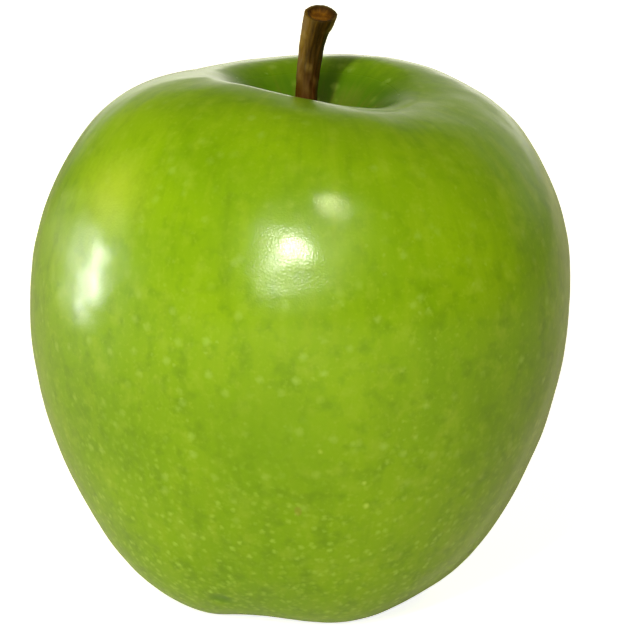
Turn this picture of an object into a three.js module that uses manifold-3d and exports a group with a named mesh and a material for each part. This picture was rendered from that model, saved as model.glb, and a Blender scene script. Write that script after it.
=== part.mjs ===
// A whole green apple, as picked, standing on its base with its stalk still in it.
//
// Millimetres, +Z up. The origin is under the middle of the fruit, on the surface that it stands on.
// The front of the fruit faces -Y, and azimuths are measured from +X towards +Y. The levels below are
// measured from the lowest ring of the fruit's plain outline, before its ribs lower and flatten it.
//
// Four pieces:
//   fruit    flesh and skin, one body, with the hollow round the stalk and the basin round the eye
//   stem     the woody stalk, rooted in the floor of the hollow
//   sepals   the five dried leaves of the flower, on the collar that they grow from, in the basin
//   stamens  the dried threads of the flower, on the pad inside the collar
import * as THREE from "three";
import { mergeVertices } from "three/addons/utils/BufferGeometryUtils.js";
import Module from "manifold-3d";

const wasm = await Module();
wasm.setup();

const { clamp, degToRad, inverseLerp, lerp, seededRandom, smoothstep } = THREE.MathUtils;

// The fruit's plain outline
const HALF_WIDTH = 38; // at the widest level
const WIDEST_LEVEL = 43.3;
const CREST_RADIUS = 15.4; // the ring of highest points, round the stalk
const CREST_LEVEL = 73.5;
const HOLLOW_FLOOR = CREST_LEVEL - 12.5; // where the stalk leaves the flesh
const FOOT_RADIUS = 14.1; // the ring of lowest points, round the eye
const BASIN_FLOOR = 6.4; // where the sepals leave the flesh
const FLANK_RADIUS = 29; // the flank is nearly straight here, just above the foot
const FLANK_LEVEL = 11.2;
const FLANK_SLOPE = degToRad(29); // from the vertical
const LEAN = 0.033; // sideways drift of the fruit's axis for each millimetre of height

// How the fruit departs from that outline. Five ribs rise from the foot, over the five seed chambers.
const RIBS = { count: 5, height: 0.5, at: degToRad(-67) };
const FOOT_FLAT = 0.2; // how much of each rib's lowest point is flat, where the fruit rests
const SHOULDER_TILT = { count: 1, height: 1.3, at: degToRad(153) };
const SHOULDER_SADDLE = { count: 2, height: 1, at: degToRad(53) };
const OVAL_PLAN = { count: 2, height: 0.35, at: degToRad(131) };
const THREE_SIDED_PLAN = { count: 3, height: 0.8, at: degToRad(-65) };

// Pits in the flesh hold the feet of the stalk and of the collar, with a small gap all round
const GAP = 0.3;
const STEM_FOOT_RADIUS = 1.6;
const STEM_ROOT = 3; // depth below the floor of the hollow
const COLLAR_RADIUS = 3.1;
const COLLAR_ROOT = 2.4;
const STEM_PIT = STEM_FOOT_RADIUS + GAP;
const EYE_PIT = COLLAR_RADIUS + GAP;

// The stalk's middle line, and its girth at shares of its length
const STEM_PATH = [
  [0.5, 0, HOLLOW_FLOOR - STEM_ROOT],
  [0.5, 0, HOLLOW_FLOOR],
  [0.15, 0, 70.5],
  [0.75, -0.25, 77],
  [1.3, -0.6, 80],
  [2.15, -1.05, 82.9],
];
const STEM_GIRTH = [
  [0, STEM_FOOT_RADIUS],
  [0.3, 1.5],
  [0.62, 1.65],
  [0.76, 1.6],
  [0.88, 1.82],
  [1, 2.2],
];
const STEM_CUT_SLOPE = Math.tan(degToRad(13)); // the cut end faces forwards as well as up
const STEM_CUT_DISH = 0.3;
const STEM_RIDGES = { count: 3, height: 0.05, at: degToRad(20) };

const SEPALS = 5;
const SEPAL_WIDTH = 2.7;
const SEPAL_THICKNESS = 0.65;
const COLLAR_BORE = 1.9;
const COLLAR_RIM = 0.5; // how far the collar stands out of the flesh
const STAMENS = 12;
const STAMEN_RADIUS = 0.26;
const SEED = 7;

const AROUND = 72; // facets round the fruit

const point = (r, z) => new THREE.Vector2(r, z);
const share = (value, from, to) => clamp(inverseLerp(from, to, value), 0, 1);
const wave = ({ count, height, at }, azimuth) => height * Math.cos(count * (azimuth - at));
const driftAt = (z) => LEAN * (z - WIDEST_LEVEL);
const jitter = (amount) => amount * (2 * seededRandom() - 1);

/** Samples one stretch of the fruit's outline, with the share of each departure that acts at each point. */
function stretch(steps, acting, ...controls) {
  return new THREE.CubicBezierCurve(...controls)
    .getPoints(steps)
    .map((p) => ({ p, ribs: 0, shoulder: 0, plan: 0, ...acting(p) }));
}

/** Half of the fruit's outline, from the middle of the eye's pit, up outside, to the stalk's pit. */
function fruitOutline() {
  const flank = point(Math.sin(FLANK_SLOPE), Math.cos(FLANK_SLOPE));
  const onFlank = (along) => point(FLANK_RADIUS, FLANK_LEVEL).addScaledVector(flank, along);
  const foot = point(FOOT_RADIUS, 0);
  const waist = point(HALF_WIDTH, WIDEST_LEVEL);
  const crest = point(CREST_RADIUS, CREST_LEVEL);

  const inBasin = ({ x }) => ({ ribs: share(x, EYE_PIT, FOOT_RADIUS) });
  const outside = ({ y }) => ({
    ribs: share(y, WIDEST_LEVEL, 0) ** 2,
    shoulder: share(y, WIDEST_LEVEL, CREST_LEVEL) ** 2,
    plan: Math.sin((Math.PI * y) / CREST_LEVEL),
  });
  const inHollow = ({ x }) => ({ shoulder: share(x, STEM_PIT, CREST_RADIUS) });
  const inPit = (r, z) => ({ p: point(r, z), ribs: 0, shoulder: 0, plan: 0 });

  const basin = [point(EYE_PIT + 2.5, BASIN_FLOOR - 0.6), point(FOOT_RADIUS - 4.5, 0)];
  const shoulder = [point(HALF_WIDTH, WIDEST_LEVEL + 12.7), point(CREST_RADIUS + 16.2, CREST_LEVEL)];
  const hollow = [point(CREST_RADIUS - 6.5, CREST_LEVEL), point(STEM_PIT + 2.6, HOLLOW_FLOOR + 2.2)];
  return [
    inPit(0, BASIN_FLOOR + COLLAR_ROOT + GAP),
    inPit(EYE_PIT, BASIN_FLOOR + COLLAR_ROOT + GAP),
    ...stretch(10, inBasin, point(EYE_PIT, BASIN_FLOOR), ...basin, foot),
    ...stretch(11, outside, foot, point(FOOT_RADIUS + 7, 0), onFlank(-5), onFlank(0)).slice(1),
    ...stretch(7, outside, onFlank(0), onFlank(5), point(HALF_WIDTH, WIDEST_LEVEL - 16.3), waist).slice(1),
    ...stretch(11, outside, waist, ...shoulder, crest).slice(1),
    ...stretch(9, inHollow, crest, ...hollow, point(STEM_PIT, HOLLOW_FLOOR)).slice(1),
    inPit(STEM_PIT, HOLLOW_FLOOR - STEM_ROOT - GAP),
    inPit(0, HOLLOW_FLOOR - STEM_ROOT - GAP),
  ];
}

/** Which way is out of the flesh, in the plane of the outline, at each of its points. */
function outwards(outline) {
  return outline.map((_, j) => {
    const before = outline[Math.max(j - 1, 0)].p;
    const after = outline[Math.min(j + 1, outline.length - 1)].p;
    const along = after.clone().sub(before).normalize();
    return point(along.y, -along.x);
  });
}

function fruitGeometry() {
  const outline = fruitOutline();
  const out = outwards(outline);
  const standing = FOOT_FLAT - RIBS.height; // the level of the flats that the fruit stands on
  const geometry = new THREE.LatheGeometry(outline.map(({ p }) => p), AROUND).rotateX(Math.PI / 2);
  const at = geometry.attributes.position;
  for (let i = 0; i < at.count; i++) {
    const j = i % outline.length;
    const { p, ribs, shoulder, plan } = outline[j];
    const azimuth = Math.atan2(at.getY(i), at.getX(i));
    const swell =
      ribs * wave(RIBS, azimuth) +
      shoulder * (wave(SHOULDER_TILT, azimuth) + wave(SHOULDER_SADDLE, azimuth)) +
      plan * (wave(OVAL_PLAN, azimuth) + wave(THREE_SIDED_PLAN, azimuth));
    const { x: r, y: z } = p.clone().addScaledVector(out[j], swell);
    at.setXYZ(i, r * Math.cos(azimuth) + driftAt(z), r * Math.sin(azimuth), Math.max(z, standing));
  }
  return geometry;
}

/** The stalk: turned about its own axis and bent along its path, with an oblique, dished cut end. */
function stemGeometry() {
  const path = new THREE.CatmullRomCurve3(STEM_PATH.map((p) => new THREE.Vector3(...p)));
  const girth = new THREE.SplineCurve(STEM_GIRTH.map((p) => point(...p))).getPoints(22);
  const length = path.getLength();
  const endRadius = girth.at(-1).y;
  const outline = [
    point(0, 0),
    ...girth.map(({ x: along, y: r }) => point(r, along * length)),
    point(endRadius * 0.82, length - STEM_CUT_DISH * 0.3),
    point(0, length - STEM_CUT_DISH),
  ];
  const geometry = new THREE.LatheGeometry(outline, 18).rotateX(Math.PI / 2);
  const at = geometry.attributes.position;
  const up = new THREE.Vector3(0, 0, 1);
  const turn = new THREE.Quaternion();
  const across = new THREE.Vector3();
  for (let i = 0; i < at.count; i++) {
    const along = clamp(at.getZ(i) / length, 0, 1);
    const ridge = 1 + wave(STEM_RIDGES, Math.atan2(at.getY(i), at.getX(i)));
    across.set(at.getX(i), at.getY(i), 0).multiplyScalar(ridge);
    across.z = across.y * STEM_CUT_SLOPE * smoothstep(along, 0.8, 1);
    turn.setFromUnitVectors(up, path.getTangentAt(along));
    across.applyQuaternion(turn).add(path.getPointAt(along));
    at.setXYZ(i, across.x, across.y, across.z);
  }
  return geometry;
}

/** One body from several closed geometries that run into each other. */
function joined(geometries) {
  const solids = geometries.map((geometry) => {
    const bare = geometry.clone().deleteAttribute("normal").deleteAttribute("uv");
    const merged = mergeVertices(bare, 1e-4);
    return new wasm.Manifold(
      new wasm.Mesh({
        numProp: 3,
        vertProperties: merged.attributes.position.array,
        triVerts: new Uint32Array(merged.index.array),
      }),
    );
  });
  const { vertProperties, triVerts } = solids.reduce((a, b) => a.add(b)).getMesh();
  return new THREE.BufferGeometry()
    .setAttribute("position", new THREE.BufferAttribute(vertProperties, 3))
    .setIndex(new THREE.BufferAttribute(triVerts, 1));
}

/** A ring turned round the axis of the eye, from its outer radius in to its bore. */
function collarGeometry() {
  const outline = [
    point(COLLAR_BORE, -COLLAR_ROOT),
    point(COLLAR_RADIUS, -COLLAR_ROOT),
    point(COLLAR_RADIUS, COLLAR_RIM * 0.4),
    point(COLLAR_RADIUS - 0.3, COLLAR_RIM),
    point(COLLAR_BORE + 0.3, COLLAR_RIM),
    point(COLLAR_BORE, COLLAR_RIM * 0.4),
    point(COLLAR_BORE, -COLLAR_ROOT),
  ];
  return new THREE.LatheGeometry(outline, 30).rotateX(Math.PI / 2);
}

/** One dried sepal: a cupped blade that closes in over the stamens, then curls back to its point. */
function sepalGeometry(azimuth) {
  const reach = 1 + jitter(0.1);
  const curl = 1 + jitter(0.25);
  const middle = (COLLAR_BORE + COLLAR_RADIUS) / 2;
  const spine = new THREE.CatmullRomCurve3([
    new THREE.Vector3(middle, 0, -0.6),
    new THREE.Vector3(middle - 0.05, 0, COLLAR_RIM),
    new THREE.Vector3(middle - 0.2, 0, 2),
    new THREE.Vector3(middle + 0.9 * curl, 0, 3.5 * reach),
    new THREE.Vector3(middle + 2.8 * curl, 0, 4.1 * reach),
  ]);
  const blade = new THREE.BoxGeometry(SEPAL_THICKNESS, 1, 1, 1, 4, 9);
  const at = blade.attributes.position;
  const spot = new THREE.Vector3();
  for (let i = 0; i < at.count; i++) {
    const along = share(at.getZ(i), -0.5, 0.5);
    const width = SEPAL_WIDTH * lerp(1, 0.16, share(along, 0.3, 1) ** 1.4);
    const y = at.getY(i) * width;
    const tangent = spine.getTangentAt(along);
    const cup = (y * y) / (2 * middle + 2);
    spot.set(tangent.z, 0, -tangent.x).multiplyScalar(at.getX(i) - cup).add(spine.getPointAt(along));
    at.setXYZ(i, spot.x, y, spot.z);
  }
  return blade.rotateZ(azimuth);
}

/** One dried thread with the swollen end that held its pollen. */
function stamenGeometry(i) {
  const height = 4.4 + jitter(0.6);
  const outline = [
    point(0, 0),
    point(STAMEN_RADIUS, 0),
    point(STAMEN_RADIUS * 0.8, height - 0.8),
    point(STAMEN_RADIUS * 1.25, height - 0.4),
    point(0, height),
  ];
  const outOfMiddle = Math.sqrt((i + 0.5) / STAMENS);
  return new THREE.LatheGeometry(outline, 6)
    .rotateX(Math.PI / 2)
    .rotateY(degToRad(4) * outOfMiddle + jitter(0.04))
    .translate(outOfMiddle, 0, -1.7)
    .rotateZ(i * Math.PI * (3 - Math.sqrt(5)));
}

function stamenPadGeometry() {
  const radius = COLLAR_BORE - GAP;
  const outline = [
    point(0, -COLLAR_ROOT),
    point(radius, -COLLAR_ROOT),
    point(radius, -1.6),
    point(radius * 0.6, -1.25),
    point(0, -1.15),
  ];
  return new THREE.LatheGeometry(outline, 20).rotateX(Math.PI / 2);
}

const repeat = (count, make) => Array.from({ length: count }, (_, i) => make(i));

function sepalsGeometry() {
  const blades = repeat(SEPALS, (i) => sepalGeometry((i * 2 * Math.PI) / SEPALS + jitter(0.05)));
  return joined([collarGeometry(), ...blades]);
}

const stamensGeometry = () => joined([stamenPadGeometry(), ...repeat(STAMENS, stamenGeometry)]);

function piece(name, geometry, color, roughness) {
  const material = new THREE.MeshStandardMaterial({ color, roughness, metalness: 0 });
  const mesh = new THREE.Mesh(geometry, material);
  mesh.name = name;
  return mesh;
}

seededRandom(SEED);
const eye = new THREE.Group(); // grows along its own +Z, out of the flesh and so downwards
eye.position.set(driftAt(BASIN_FLOOR), 0, BASIN_FLOOR);
eye.rotation.x = Math.PI;
eye.add(
  piece("sepals", sepalsGeometry(), "#5a4526", 0.85),
  piece("stamens", stamensGeometry(), "#2e2013", 0.9),
);

const apple = new THREE.Group();
apple.add(
  piece("fruit", fruitGeometry(), "#84a911", 0.3),
  piece("stem", stemGeometry(), "#3f2a08", 0.7),
  eye,
);
const box = new THREE.Box3().setFromObject(apple);
const middle = box.getCenter(new THREE.Vector3());
apple.position.set(-middle.x, -middle.y, -box.min.z);

const onSurface = new THREE.Group();
onSurface.add(apple);
export default onSurface;
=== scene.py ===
import math

import bpy
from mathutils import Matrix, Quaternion, Vector


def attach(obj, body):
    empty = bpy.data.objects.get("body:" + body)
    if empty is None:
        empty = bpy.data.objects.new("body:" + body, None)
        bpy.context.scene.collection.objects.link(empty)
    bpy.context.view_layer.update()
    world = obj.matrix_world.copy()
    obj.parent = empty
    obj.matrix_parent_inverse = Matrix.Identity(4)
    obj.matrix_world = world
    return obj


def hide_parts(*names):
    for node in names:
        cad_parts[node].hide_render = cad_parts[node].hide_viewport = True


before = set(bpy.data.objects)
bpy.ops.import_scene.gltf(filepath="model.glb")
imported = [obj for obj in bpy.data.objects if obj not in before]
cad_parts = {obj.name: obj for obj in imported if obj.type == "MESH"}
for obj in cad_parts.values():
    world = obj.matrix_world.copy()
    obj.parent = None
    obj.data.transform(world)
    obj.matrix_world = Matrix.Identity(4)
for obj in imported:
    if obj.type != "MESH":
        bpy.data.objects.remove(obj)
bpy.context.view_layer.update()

# ---- Fruit ------------------------------------------------------------------------------------
# Flesh and skin of one grown apple, tall and slightly conic, on the five ribs of its base. It is a
# profile carried round the core, swollen where the seed chambers and uneven shoulders push it out.
# The skin is a thin green one under natural wax, with pale pores that crowd towards the base.

# One millimetre, because the scene is in metres
MM = 0.001
# Corners of a sheet that lie closer than this, in millimetres, are joined along its seam and poles
WELD = 0.002
# Settings of a map range that eases in and out
SOFT = {"interpolation_type": "SMOOTHSTEP"}


def colour(code):
    """Linear colour, with alpha, from an sRGB hex code."""
    shares = [int(code[i : i + 2], 16) / 255 for i in (1, 3, 5)]
    return [s / 12.92 if s <= 0.04045 else ((s + 0.055) / 1.055) ** 2.4 for s in shares] + [1.0]


def add(tree, kind, inputs=(), **settings):
    """Adds a node. Inputs go by name, or in order, to the sockets in use: a value is set, and a
    socket, or a node for its first output, is linked. Settings are the node's own properties."""
    made = tree.nodes.new(kind)
    for name, value in settings.items():
        setattr(made, name, value)
    sockets = [s for s in made.inputs if s.enabled]
    named = {s.name: s for s in reversed(sockets)}
    for key, value in inputs.items() if isinstance(inputs, dict) else enumerate(inputs):
        socket = named[key] if isinstance(key, str) else sockets[key]
        if isinstance(value, bpy.types.Node):
            value = next(s for s in value.outputs if s.enabled)
        if isinstance(value, bpy.types.NodeSocket):
            tree.links.new(value, socket)
        else:
            socket.default_value = value
    return made


def new_tree(name, sizes):
    """A geometry tree whose inputs are a start mesh, a finish and these sizes, each by its name."""
    tree = bpy.data.node_groups.new(name, "GeometryNodeTree")
    kinds = {int: "NodeSocketInt", float: "NodeSocketFloat", tuple: "NodeSocketVector"}
    tree.interface.new_socket("Start", in_out="INPUT", socket_type="NodeSocketGeometry")
    tree.interface.new_socket("Finish", in_out="INPUT", socket_type="NodeSocketMaterial")
    for size, value in sizes.items():
        tree.interface.new_socket(size, in_out="INPUT", socket_type=kinds[type(value)])
    tree.interface.new_socket("Piece", in_out="OUTPUT", socket_type="NodeSocketGeometry")
    return tree, add(tree, "NodeGroupInput").outputs


def close_tree(tree, given, geometry):
    """Ends a geometry tree: instances made real, smooth faces, and the finish on them."""
    real = add(tree, "GeometryNodeRealizeInstances", [geometry])
    smooth = add(tree, "GeometryNodeSetShadeSmooth", [real])
    finish = given["Finish"]
    finished = add(tree, "GeometryNodeSetMaterial", {"Geometry": smooth, "Material": finish})
    add(tree, "NodeGroupOutput", [finished])


def new_sheet(tree, given):
    """A sheet of facets to bend round a line, with what each of its corners has there: its angle
    round the line, the angle's cosine and sine, and its share of the way along."""
    columns = add(tree, "ShaderNodeMath", [given["Facets round"], 1.0], operation="ADD")
    rows = add(tree, "ShaderNodeMath", [given["Facets along"], 1.0], operation="ADD")
    sheet = add(tree, "GeometryNodeMeshGrid", {"Vertices X": columns, "Vertices Y": rows})
    share = add(tree, "ShaderNodeSeparateXYZ", [sheet.outputs["UV Map"]])
    angle = add(tree, "ShaderNodeMath", [share.outputs["X"], 2 * math.pi], operation="MULTIPLY")
    cosine = add(tree, "ShaderNodeMath", [angle], operation="COSINE")
    sine = add(tree, "ShaderNodeMath", [angle], operation="SINE")
    return sheet, angle, cosine, sine, share.outputs["Y"]


def close_sheet(tree, given, sheet, corner, fields):
    """Keeps on a sheet the fields that its material reads, puts its corners where they belong, in
    millimetres, joins its seam and poles, and ends the tree."""
    for name, kind, value in fields:
        sheet = add(
            tree,
            "GeometryNodeStoreNamedAttribute",
            {"Geometry": sheet, "Name": name, "Value": value},
            data_type=kind,
            domain="POINT",
        )
    corner = add(tree, "ShaderNodeVectorMath", {"Vector": corner, "Scale": MM}, operation="SCALE")
    shaped = add(tree, "GeometryNodeSetPosition", {"Geometry": sheet, "Position": corner})
    closed = add(tree, "GeometryNodeMergeByDistance", {"Geometry": shaped, "Distance": WELD * MM})
    close_tree(tree, given, closed)


def grow(name, tree, finish, sizes, start=None):
    """Runs a geometry tree with these sizes, and keeps what it makes as a plain mesh object."""
    start = start or bpy.data.meshes.new(name + "_start")
    holder = bpy.data.objects.new(name + "_start", start)
    bpy.context.scene.collection.objects.link(holder)
    modifier = holder.modifiers.new(tree.name, "NODES")
    modifier.node_group = tree
    given = {"Finish": finish, **sizes}
    for item in tree.interface.items_tree:
        if item.in_out == "INPUT" and item.name in given:
            modifier[item.identifier] = given[item.name]
    graph = bpy.context.evaluated_depsgraph_get()
    mesh = bpy.data.meshes.new_from_object(holder.evaluated_get(graph), depsgraph=graph)
    bpy.data.objects.remove(holder)
    mesh.name = name
    piece = bpy.data.objects.new(name, mesh)
    bpy.context.scene.collection.objects.link(piece)
    return piece


def shader_tree(owner):
    """The node tree of a material, a light or a world, emptied."""
    owner.use_nodes = True
    owner.node_tree.nodes.clear()
    return owner.node_tree


# Half of the fruit's outline, in millimetres: radius and height of each knot, then how far its
# handles reach before and after it. It runs from the eye's pit up the outside to the stalk.
FRUIT_KNOTS = (
    ("Pit middle", (0.0, 9.1), (0.0, 0.0), (0.0, 0.0)),
    ("Pit edge", (2.9, 9.1), (0.0, 0.0), (0.0, 0.0)),
    ("Eye", (2.9, 6.5), (0.0, 0.0), (3.0, -0.7)),
    ("Foot", (14.1, 0.0), (-4.5, 0.0), (7.0, 0.0)),
    ("Flank", (29.0, 11.2), (-2.42, -4.37), (2.42, 4.37)),
    ("Waist", (38.0, 43.3), (0.0, -16.3), (0.0, 12.7)),
    ("Crest", (15.4, 73.5), (16.2, 0.0), (-6.5, 0.0)),
    ("Stalk", (1.4, 60.6), (3.1, 2.6), (0.0, 0.0)),
    ("Stalk middle", (0.0, 60.3), (0.0, 0.0), (0.0, 0.0)),
)
# Departures from round: how many to a turn, how high in millimetres, and the azimuth of one crest.
# Each acts over its own part of the fruit.
FRUIT_WAVES = (
    ("Ribs", "base", 5, 0.5, -67),
    ("Shoulder tilt", "top", 1, 1.3, 153),
    ("Shoulder saddle", "top", 2, 1.0, 53),
    ("Oval plan", "girth", 2, 0.35, 131),
    ("Three-sided plan", "girth", 3, 0.8, -65),
)
FRUIT_SIZES = {
    "Facets round": 288,
    "Facets along": 320,
    "Steps to a stretch": 160,
    "Stretch weld": 0.001,
    "Widest level": 43.3,
    "Crest level": 73.5,
    "Crest radius": 15.4,
    "Foot radius": 14.1,
    "Eye radius": 3.4,
    "Stalk radius": 1.9,
    "Lean": 0.033,
    "Standing level": -0.3,
    "Place": (0.7425, 0.247, 0.3),
    "Swell height": 0.14,
    "Swell size": 11.0,
    "Dimple height": 0.022,
    "Dimple size": 3.2,
    "Dent place": (-10.4, -21.5, 5.1),
    "Dent radius": 2.0,
    "Dent depth": 0.22,
    "Seed": 4,
}
for knot, place, before, after in FRUIT_KNOTS:
    FRUIT_SIZES[knot] = (place[0], 0.0, place[1])
    FRUIT_SIZES[knot + " before"] = (before[0], 0.0, before[1])
    FRUIT_SIZES[knot + " after"] = (after[0], 0.0, after[1])
for wave, _, _, height, azimuth in FRUIT_WAVES:
    FRUIT_SIZES[wave + " height"] = height
    FRUIT_SIZES[wave + " azimuth"] = math.radians(azimuth)

tree, given = new_tree("fruit", FRUIT_SIZES)

# The outline, as one curve
stretches = add(tree, "GeometryNodeJoinGeometry")
for (start, *_), (end, *_) in zip(FRUIT_KNOTS, FRUIT_KNOTS[1:]):
    points = (start, start + " after", end + " before", end)
    stretch = add(
        tree,
        "GeometryNodeCurvePrimitiveBezierSegment",
        [given["Steps to a stretch"], *(given[point] for point in points)],
        mode="OFFSET",
    )
    tree.links.new(stretch.outputs[0], stretches.inputs[0])
line = add(tree, "GeometryNodeCurveToMesh", [stretches])
line = add(
    tree, "GeometryNodeMergeByDistance", {"Geometry": line, "Distance": given["Stretch weld"]}
)
line = add(tree, "GeometryNodeMeshToCurve", [line])
line = add(tree, "GeometryNodeReverseCurve", [line])

# A sheet of facets, one side of it round the core and the other along the outline
sheet, azimuth, cosine, sine, along = new_sheet(tree, given)
outline = add(
    tree,
    "GeometryNodeSampleCurve",
    {"Curves": line, "Factor": along},
    mode="FACTOR",
    use_all_curves=True,
)
at = add(tree, "ShaderNodeSeparateXYZ", [outline.outputs["Position"]])
radius, level = at.outputs["X"], at.outputs["Z"]
heading = add(tree, "ShaderNodeSeparateXYZ", [outline.outputs["Tangent"]])
inwards = add(tree, "ShaderNodeMath", [heading.outputs["X"], -1.0], operation="MULTIPLY")

# Where each departure acts: below the waist, above it, or round the girth, but not in the two pits
near_foot = add(
    tree, "ShaderNodeMapRange", [radius, given["Eye radius"], given["Foot radius"], 0.0, 1.0]
)
near_crest = add(
    tree, "ShaderNodeMapRange", [radius, given["Stalk radius"], given["Crest radius"], 0.0, 1.0]
)
below = add(tree, "ShaderNodeMapRange", [level, given["Widest level"], 0.0, 0.0, 1.0])
above = add(
    tree, "ShaderNodeMapRange", [level, given["Widest level"], given["Crest level"], 0.0, 1.0]
)
half_turn = add(tree, "ShaderNodeMath", [level, math.pi], operation="MULTIPLY")
half_turn = add(tree, "ShaderNodeMath", [half_turn, given["Crest level"]], operation="DIVIDE")
bulge = add(tree, "ShaderNodeMath", [half_turn], operation="SINE")
clear = add(tree, "ShaderNodeMath", [near_foot, near_crest], operation="MULTIPLY")
acting = {
    "base": [below, below, near_foot],
    "top": [above, above, near_crest],
    "girth": [bulge, clear],
}
for part, factors in acting.items():
    product = factors[0]
    for factor in factors[1:]:
        product = add(tree, "ShaderNodeMath", [product, factor], operation="MULTIPLY")
    acting[part] = product

swell = 0.0
for wave, part, count, _, _ in FRUIT_WAVES:
    turned = add(tree, "ShaderNodeMath", [azimuth, given[wave + " azimuth"]], operation="SUBTRACT")
    turned = add(tree, "ShaderNodeMath", [turned, float(count)], operation="MULTIPLY")
    crest = add(tree, "ShaderNodeMath", [turned], operation="COSINE")
    crest = add(tree, "ShaderNodeMath", [crest, given[wave + " height"]], operation="MULTIPLY")
    swell = add(tree, "ShaderNodeMath", [crest, acting[part], swell], operation="MULTIPLY_ADD")

# The slight unevenness of grown flesh under the skin, in two sizes
around_x = add(tree, "ShaderNodeMath", [radius, cosine], operation="MULTIPLY")
around_y = add(tree, "ShaderNodeMath", [radius, sine], operation="MULTIPLY")
spot = add(tree, "ShaderNodeCombineXYZ", [around_x, around_y, level])
for height, size in (("Swell height", "Swell size"), ("Dimple height", "Dimple size")):
    frequency = add(tree, "ShaderNodeMath", [1.0, given[size]], operation="DIVIDE")
    seeded = add(tree, "ShaderNodeVectorMath", [spot, given["Seed"]], operation="ADD")
    uneven = add(tree, "ShaderNodeTexNoise", {"Vector": seeded, "Scale": frequency, "Detail": 1.0})
    uneven = add(tree, "ShaderNodeMapRange", [uneven, 0.25, 0.75, -1.0, 1.0])
    uneven = add(tree, "ShaderNodeMath", [uneven, given[height]], operation="MULTIPLY")
    swell = add(tree, "ShaderNodeMath", [uneven, near_foot, swell], operation="MULTIPLY_ADD")

# A small dent in the base, pressed in when the fruit was picked
gap = add(
    tree, "ShaderNodeVectorMath", [spot, given["Dent place"]], operation="DISTANCE"
).outputs["Value"]
dent = add(
    tree, "ShaderNodeMapRange", [gap, 0.0, given["Dent radius"], given["Dent depth"], 0.0], **SOFT
)
swell = add(tree, "ShaderNodeMath", [swell, dent], operation="SUBTRACT")

# Each facet's corner, moved out by its swell, leant with the core and kept on its flat foot
moved_r = add(
    tree, "ShaderNodeMath", [swell, heading.outputs["Z"], radius], operation="MULTIPLY_ADD"
)
moved_z = add(tree, "ShaderNodeMath", [swell, inwards, level], operation="MULTIPLY_ADD")
moved_x = add(tree, "ShaderNodeMath", [moved_r, cosine], operation="MULTIPLY")
moved_y = add(tree, "ShaderNodeMath", [moved_r, sine], operation="MULTIPLY")
rise = add(tree, "ShaderNodeMath", [moved_z, given["Widest level"]], operation="SUBTRACT")
leant_x = add(tree, "ShaderNodeMath", [rise, given["Lean"], moved_x], operation="MULTIPLY_ADD")
stood_z = add(tree, "ShaderNodeMath", [moved_z, given["Standing level"]], operation="MAXIMUM")
corner = add(tree, "ShaderNodeCombineXYZ", [leant_x, moved_y, stood_z])
corner = add(tree, "ShaderNodeVectorMath", [corner, given["Place"]], operation="ADD")

# What the skin's pattern follows: the meridian and the distance along it, and how far a place is
# down in the hollow round the stalk or in the basin round the eye
meridian = add(tree, "ShaderNodeCombineXYZ", [cosine, sine, along])
depth = add(tree, "ShaderNodeMath", [1.0, near_crest], operation="SUBTRACT")
hollow = add(tree, "ShaderNodeMath", [depth, above], operation="MULTIPLY")
depth = add(tree, "ShaderNodeMath", [1.0, near_foot], operation="SUBTRACT")
basin = add(tree, "ShaderNodeMath", [depth, below], operation="MULTIPLY")
fields = (
    ("meridian", "FLOAT_VECTOR", meridian),
    ("hollow", "FLOAT", hollow),
    ("basin", "FLOAT", basin),
)
close_sheet(tree, given, sheet, corner, fields)

# Apple skin: cells full of green pigment under a thin film of wax. To the eye it is a clear, deep
# yellow-green, greyer towards the edges. A small hard gloss shows the grain of the skin, and the
# film's wide soft one lies over it.
skin = bpy.data.materials.new("waxy_apple_skin")
tree = shader_tree(skin)
place = add(tree, "ShaderNodeTexCoord").outputs["Object"]
height = add(tree, "ShaderNodeSeparateXYZ", [place]).outputs["Z"]
along_skin = add(tree, "ShaderNodeAttribute", attribute_name="meridian").outputs["Vector"]
in_hollow = add(tree, "ShaderNodeAttribute", attribute_name="hollow").outputs["Fac"]
in_basin = add(tree, "ShaderNodeAttribute", attribute_name="basin").outputs["Fac"]

# Broad clouds of yellower and greener skin, about 24 mm across
clouds = add(tree, "ShaderNodeTexNoise", {"Vector": place, "Scale": 1 / (24 * MM), "Detail": 2.0})
clouds = add(tree, "ShaderNodeMapRange", [clouds, 0.35, 0.65, 0.0, 1.0])
tint = add(
    tree,
    "ShaderNodeMix",
    {"Factor": clouds, "A": colour("#82AA00"), "B": colour("#96BC04")},
    data_type="RGBA",
)

# Streaks along the meridians, over four times as long as they are wide. The pattern is laid out on
# the fruit's radius and the length of its outline. All four are in millimetres.
STREAK_WIDTH, STREAK_LENGTH = 2.5, 11
GIRTH_RADIUS, OUTLINE_LENGTH = 38, 125
streaks_round, streaks_along = GIRTH_RADIUS / STREAK_WIDTH, OUTLINE_LENGTH / STREAK_LENGTH
streak_scale = (streaks_round, streaks_round, streaks_along)
streaks = add(tree, "ShaderNodeVectorMath", [along_skin, streak_scale], operation="MULTIPLY")
streaks = add(tree, "ShaderNodeTexNoise", {"Vector": streaks, "Scale": 1.0, "Detail": 3.0})
# The coats of colour over the clouds, from the lowest up: how much of each shows, and its code
coats = []
for dark, bright, code, strength in ((0.54, 0.78, "#AFC828", 0.3), (0.46, 0.24, "#6C9000", 0.34)):
    factor = add(tree, "ShaderNodeMapRange", [streaks, dark, bright, 0.0, strength])
    coats.append((factor, code))

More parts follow.
